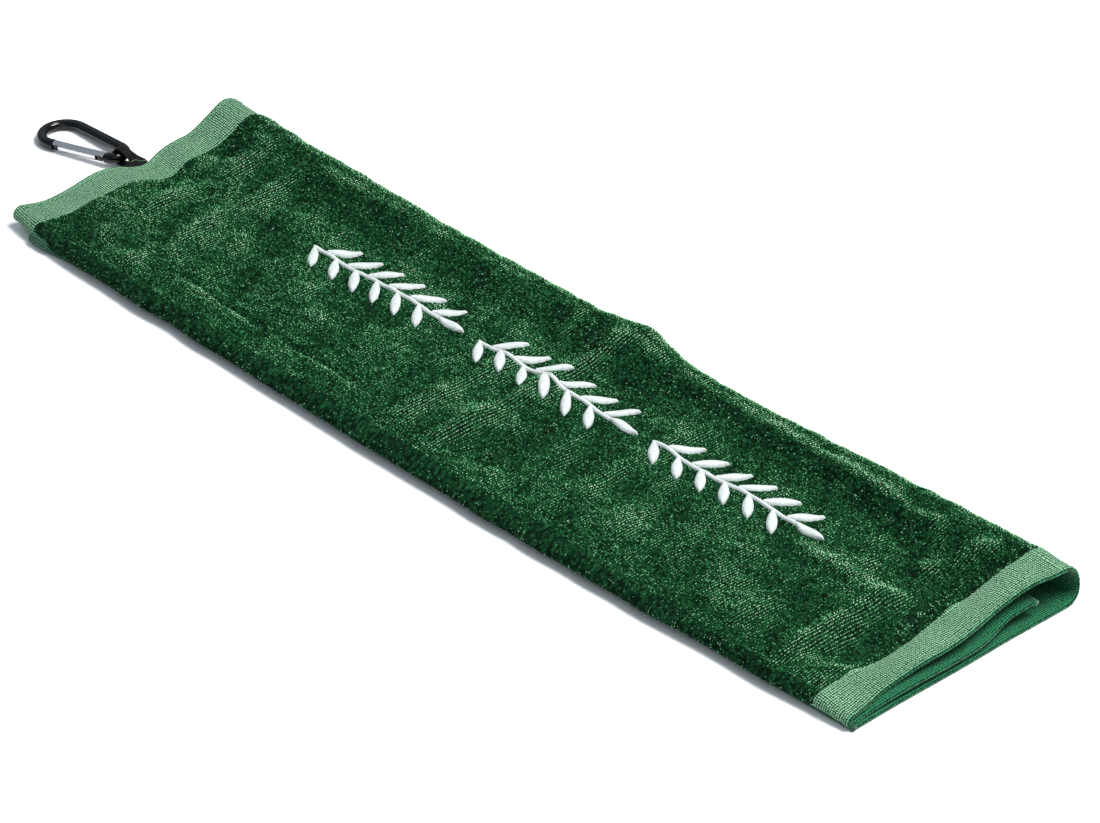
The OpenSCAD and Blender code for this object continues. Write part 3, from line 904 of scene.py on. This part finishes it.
def stitch(segment, s0, s1, x):
    """One stitch as a low rounded bar across the towel."""
    n, k = 7, 6
    angle = np.linspace(0, 2 * np.pi, k + 1)[:-1]
    T, A = np.meshgrid(np.linspace(0, 1, n), angle, indexing="ij")
    swell = np.sqrt(np.clip(1 - (2 * T - 1) ** 4, 0.02, 1)) * STITCH_R
    s = s0 + (s1 - s0) * T
    points, normal, _, along = lie(segment, s, np.full_like(s, x))
    crown = 0.12
    offset = BAND_T / 2 + crown + crown * (1 - (2 * T - 1) ** 2)
    ring = normal * (offset + swell * np.sin(A))[..., None] + along * (swell * np.cos(A))[..., None]
    verts = (points + ring).reshape(-1, 3)
    sides = tube_faces(n, k)
    caps = np.array([[0, 5, 2, 1], [5, 4, 3, 2]])
    caps = np.concatenate([caps, caps[:, ::-1] + (n - 1) * k])
    uv = np.stack([s, x + A * 0.2], -1).reshape(-1, 2) * MM
    return verts, np.concatenate([sides, caps]), uv


STITCH_L, STITCH_PITCH, STITCH_IN = 2.5, 3.4, 3


def stitching(segment, body, nodes):
    """The rows of stitches that finish a segment's two bands."""
    rows = []
    for x in (-END_X + STITCH_IN, END_X - STITCH_IN):
        for s in np.arange(1.0, LENGTH[segment] - 2.6, STITCH_PITCH):
            rows.append(stitch(segment, s, s + STITCH_L, x))
    joined(segment + "_stitches", rows, body, nodes, "thread_green")


STITCH_NODE = {"back": ["back_hem_stitching"], "front": ["front_hem_stitching"],
               "inner": ["inner_hem_stitching"], "far": []}
for segment, nodes in STITCH_NODE.items():
    stitching(segment, BODY[segment], nodes)


# ---- Rolled side hems ----

def tube(name, centres, radii, body, nodes, slot, sides=18, up=(0, 0, 1), ribs=0.0, finish=None):
    """A closed tube along centre points, with a radius at each."""
    centres = np.asarray(centres, float)
    radii = np.broadcast_to(np.asarray(radii, float), (len(centres),))
    ahead = np.gradient(centres, axis=0)
    ahead /= np.linalg.norm(ahead, axis=1, keepdims=True)
    side = np.cross(ahead, np.asarray(up, float))
    side /= np.linalg.norm(side, axis=1, keepdims=True)
    lift = np.cross(side, ahead)
    run = np.concatenate([[0], np.cumsum(np.linalg.norm(np.diff(centres, axis=0), axis=1))])
    angle = np.linspace(0, 2 * np.pi, sides + 1)[:-1]
    A, R = np.meshgrid(angle, run)
    r = radii[:, None] * (1 + ribs * np.sin(R * 2 * np.pi / 1.3 + A * 2))
    ring = side[:, None] * (r * np.cos(A))[..., None] + lift[:, None] * (r * np.sin(A))[..., None]
    verts = (centres[:, None] + ring).reshape(-1, 3)
    cap = np.array([[j, j + 1, sides - j - 1, sides - j] for j in range(1, sides // 2 - 1)])
    far_cap = cap[:, ::-1] + (len(centres) - 1) * sides
    faces = np.concatenate([tube_faces(len(centres), sides), cap, far_cap])
    piece = make(name, verts, faces, np.stack([A * 3, R], -1).reshape(-1, 2) * MM)
    close_ends(piece)
    settle(piece, body, nodes, slot, finish)
    return piece


def close_ends(piece):
    """Fills the small holes that are left in the end caps."""
    work = bmesh.new()
    work.from_mesh(piece.data)
    bmesh.ops.holes_fill(work, edges=[e for e in work.edges if e.is_boundary])
    bmesh.ops.recalc_face_normals(work, faces=work.faces)
    work.to_mesh(piece.data)
    work.free()


def side_hem(name, segment, s, swell):
    """The rolled hem along a segment's free edge, fatter by the swell at the clip end."""
    x = np.arange(-END_X, END_X + 0.1, 1.2)
    points, _, across, _ = lie(segment, np.full_like(x, s), x)
    outward = -1 if s == 0 else 1
    radius = SIDE_HEM_R * 0.92 * (1 + 0.06 * np.sin(x / 7.0)) + swell * smooth((-x - 240) / 22)
    centres = points + across * outward * (SIDE_HEM_R * 0.6)
    if segment == "back":
        centres[:, 2] = np.maximum(centres[:, 2], radius + 0.1)
    tube(name, centres, radius, segment, [segment + "_side_hem"], "hem", ribs=0.02,
         finish=MATERIAL["side_roll"])


side_hem("back_side_roll", "back", 0, 2.1)
side_hem("inner_side_roll", "inner", LENGTH["inner"], 0.0)


# ---- Strap ----

EYE = joint_place("clip_swing")
EYE_YAW = math.atan2(-JOINT["clip_swing"]["axis"][0], JOINT["clip_swing"]["axis"][1])
EYE_R = 4.25
STRAP_T, NECK_W = 1.05, 5.2
STRAP_W = high("strap_tail")[1] - low("strap_tail")[1]
TAIL_X = high("strap_tail")[0]
BED_Z = 5.35
# Half the distance between the strap's two layers, in thicknesses: at the band, and at the waist by the rod
PLY, PLY_AT_WAIST = 0.52, 0.832
# How far the waist lies from the rod, and how far above it
WAIST, WAIST_RISE = 7.6, 0.4
# Where the strap bends, and how far on each side of that, in metres
FLEX_X = joint_place("strap_flex")[0] * MM
FLEX_RUN = 0.002


def strap_path():
    """The webbing's centre line: out above, round the rod, and back below."""
    away = np.array([-math.cos(EYE_YAW), -math.sin(EYE_YAW), 0])
    up = np.array([0, 0, 1])
    root = np.array([-END_X - 1, STRAP_Y, BED_Z])
    tail = np.array([TAIL_X, STRAP_Y, BED_Z])
    waist = EYE - away * WAIST
    waist[2] = EYE[2] + WAIST_RISE
    side = [tail, (tail + root) / 2, root]
    above, at_waist = up * STRAP_T * PLY, up * STRAP_T * PLY_AT_WAIST
    turns = np.linspace(-0.35, math.pi + 0.35, 15)
    ring = [EYE + EYE_R * (away * math.sin(a) + up * math.cos(a)) for a in turns]
    return np.array([*(p + above for p in side), waist + at_waist, *ring,
                     waist - at_waist, *(p - above for p in reversed(side))])


def resample(points, step):
    """A smooth line through points, as evenly spaced points."""
    run = np.concatenate([[0], np.cumsum(np.linalg.norm(np.diff(points, axis=0), axis=1))])
    t = np.linspace(0, run[-1], int(run[-1] / step))
    line = np.stack([np.interp(t, run, points[:, k]) for k in range(3)], -1)
    for _ in range(8):
        line[1:-1] = 0.25 * line[:-2] + 0.5 * line[1:-1] + 0.25 * line[2:]
    return line, t


def strap():
    """Flat webbing at the band, narrowed and gathered into folds at the clip's rod."""
    line, run = resample(strap_path(), 0.45)
    ahead = np.gradient(line, axis=0)
    ahead /= np.linalg.norm(ahead, axis=1, keepdims=True)
    near_eye = smooth((-END_X - 1.5 - line[:, 0]) / 8)[:, None]
    along_rod = np.array([-math.sin(EYE_YAW), math.cos(EYE_YAW), 0])
    wide = np.array([0, 1.0, 0]) * (1 - near_eye) + along_rod * near_eye
    wide /= np.linalg.norm(wide, axis=1, keepdims=True)
    normal = np.cross(ahead, wide)
    normal /= np.linalg.norm(normal, axis=1, keepdims=True)
    w = np.linspace(-1, 1, 21)
    half = STRAP_W / 2 + (NECK_W / 2 - STRAP_W / 2) * near_eye
    off_ring = np.abs(np.linalg.norm(line - EYE, axis=1)[:, None] - EYE_R)
    gathered = near_eye * smooth(off_ring / 2.5)
    folds = gathered * 0.55 * np.cos(w * 8.2 + 0.6 * np.sin(run / 4)[:, None])
    ribs = 0.06 * np.cos(w * half * 2 * np.pi / 0.9)
    edge = np.sqrt(np.clip(1 - w**6, 0.05, 1)) * STRAP_T / 2
    centre = line[:, None] + wide[:, None] * (w * half)[..., None]
    outer = centre + normal[:, None] * (folds + edge + ribs)[..., None]
    inner = centre + normal[:, None] * (folds - edge - ribs)[..., None]
    uv = np.stack(np.broadcast_arrays(w * half, run[:, None]), -1).reshape(-1, 2) * MM
    verts = np.concatenate([outer.reshape(-1, 3), inner.reshape(-1, 3)])
    piece = make("strap_webbing", verts, shell_faces(len(run), len(w)), np.concatenate([uv, uv]))
    bend = ("front", "strap", (FLEX_X + FLEX_RUN, 0, 0), (FLEX_X - FLEX_RUN, 0, 0))
    settle(piece, bend, ["strap_tail", "strap_loop"], "webbing")


strap()


TACK_ROWS = (7.2, 15.2)
TACK_L, TACK_PITCH = 2.4, 3.2


def tack():
    """Two rows of stitches through the front band that hold the strap's tail."""
    rows = []
    for row in TACK_ROWS:
        for y in np.arange(STRAP_Y - 6, STRAP_Y + 5, TACK_PITCH):
            s = front_s(row - END_X, y)
            rows.append(stitch("front", s, s - TACK_L, row - END_X))
    joined("strap_tack_stitches", rows, "front", ["strap_tack"], "thread_green")


tack()


def loose_thread():
    """A stray end of pale yarn where the strap leaves the band."""
    t = np.linspace(0, 1, 24)
    x = -END_X + 2.6 - 5.2 * t + 0.8 * np.sin(t * 7)
    y = STRAP_Y + 5.5 - 7.5 * t + 0.7 * np.sin(t * 9 + 1)
    points, normal, _, _ = lie("front", front_s(x, y), np.maximum(x, -END_X + 0.3))
    points = points + normal * 1.25
    points[:, 0] = x
    tube("loose_yarn", points, 0.14, "front", [], "thread_green", sides=8)


loose_thread()


# ---- Gate spring ----

GATE_PIN = joint_place("gate_hinge")
GATE_DIR = np.array(JOINT["plunger_slide"]["axis"])
# Where the spring starts and ends, along the gate from its pin
SPRING_S = (6.78, 12.22)
SPRING_R, WIRE_R, TURNS = 0.76, 0.16, 8


def spring():
    """The compression spring in the gate's bore, between the plunger and the bore's end."""
    points_per_turn = 16
    t = np.linspace(0, 1, TURNS * points_per_turn)
    up = np.array([0, 0, 1.0]) - GATE_DIR * GATE_DIR[2]
    up /= np.linalg.norm(up)
    side = np.cross(GATE_DIR, up)
    run = SPRING_S[0] + WIRE_R + (SPRING_S[1] - SPRING_S[0] - 2 * WIRE_R) * t
    turn = 2 * np.pi * TURNS * t
    points = (GATE_PIN + GATE_DIR * run[:, None] + up * (SPRING_R * np.cos(turn))[:, None]
              + side * (SPRING_R * np.sin(turn))[:, None])
    piece = tube("gate_coil", points, WIRE_R, "gate", ["gate_spring"], "spring_steel", sides=8, up=GATE_DIR)
    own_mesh(piece)


spring()


# ---- What lies below and on each sheet, gathered but not passed on ----


BELOW = {"back": ["floor"], "far": ["back_panel"], "front": ["inner_panel"], "inner": ["back_panel"]}
for segment, below in BELOW.items():
    panel = PANEL_NODE[segment]
    on_it = [pile[segment]] if segment in pile else []
    if segment == "inner":
        on_it += [cloth["near_fold"], pile["near"]]
    for side in ("clip_end", "open_end"):
        on_it = [cloth["near_fold_hem_" + side]] if segment == "inner" else []


# ---- Materials of the CAD nodes that stay ----

CAD_FINISH = {"clip_frame": "gloss_black", "gate": "bright_metal", "gate_pin": "bright_metal",
              "nose_pin": "bright_metal", "gate_plunger": "spring_steel"}
for name, slot in CAD_FINISH.items():
    paint(frame["nodes"][name], MATERIAL[slot])


# ---- Floor, light and camera ----

def floor():
    """A plain pale floor."""
    bpy.ops.mesh.primitive_plane_add(size=8, location=(0, 0, 0))
    ground = bpy.context.object
    ground.name = "floor"
    made, _, _ = material("floor_white", Roughness=0.9, Base_Color=(0.95, 0.95, 0.96, 1),
                          Specular_IOR_Level=0.1)
    ground.data.materials.append(made)


def area_light(name, place, size, power, colour=(1, 1, 1)):
    """A square soft light that faces the towel's middle."""
    data = bpy.data.lights.new(name, "AREA")
    data.shape, data.size, data.size_y = "RECTANGLE", size, size
    data.energy, data.color = power, colour
    lamp = bpy.data.objects.new(name, data)
    lamp.location = place
    lamp.rotation_euler = (-Vector(place)).to_track_quat("-Z", "Y").to_euler()
    bpy.context.scene.collection.objects.link(lamp)


def studio():
    """A cool even sky, one soft key light and a weak fill."""
    world = bpy.data.worlds.new("studio")
    world.use_nodes = True
    sky = world.node_tree.nodes["Background"].inputs
    sky["Color"].default_value = (0.78, 0.89, 1.0, 1)
    sky["Strength"].default_value = 0.47
    bpy.context.scene.world = world
    area_light("key", (0.66, 0.72, 1.95), 1.3, 96, (1.0, 0.985, 0.96))
    area_light("fill", (1.6, -1.0, 1.6), 1.2, 4)


# The camera's azimuth, elevation and roll; its distance and lens; and the point that it looks at
CAM_AZ, CAM_EL, CAM_ROLL = math.radians(46.865), math.radians(32.338), math.radians(0.377)
CAM_DISTANCE, CAM_LENS = 2.1515, 157.0
CAM_TARGET = Vector((0.0145, 0.00806, 0))


def camera():
    """A camera at the angle from which the towel is seen, turned about its own axis by the roll."""
    level = math.cos(CAM_EL)
    back = Vector((math.sin(CAM_AZ) * level, -math.cos(CAM_AZ) * level, math.sin(CAM_EL)))
    right = Vector((math.cos(CAM_AZ), math.sin(CAM_AZ), 0))
    up = back.cross(right)
    level_right = math.cos(CAM_ROLL) * right + math.sin(CAM_ROLL) * up
    level_up = math.cos(CAM_ROLL) * up - math.sin(CAM_ROLL) * right
    data = bpy.data.cameras.new("camera")
    data.lens, data.sensor_width, data.clip_end = CAM_LENS, 36, 20
    made = bpy.data.objects.new("camera", data)
    made.matrix_world = Matrix.Translation(CAM_TARGET + back * CAM_DISTANCE) @ Matrix(
        (level_right, level_up, back)).transposed().to_4x4()
    bpy.context.scene.collection.objects.link(made)
    bpy.context.scene.camera = made


floor()
studio()
camera()
bpy.context.scene.view_settings.view_transform = "Standard"
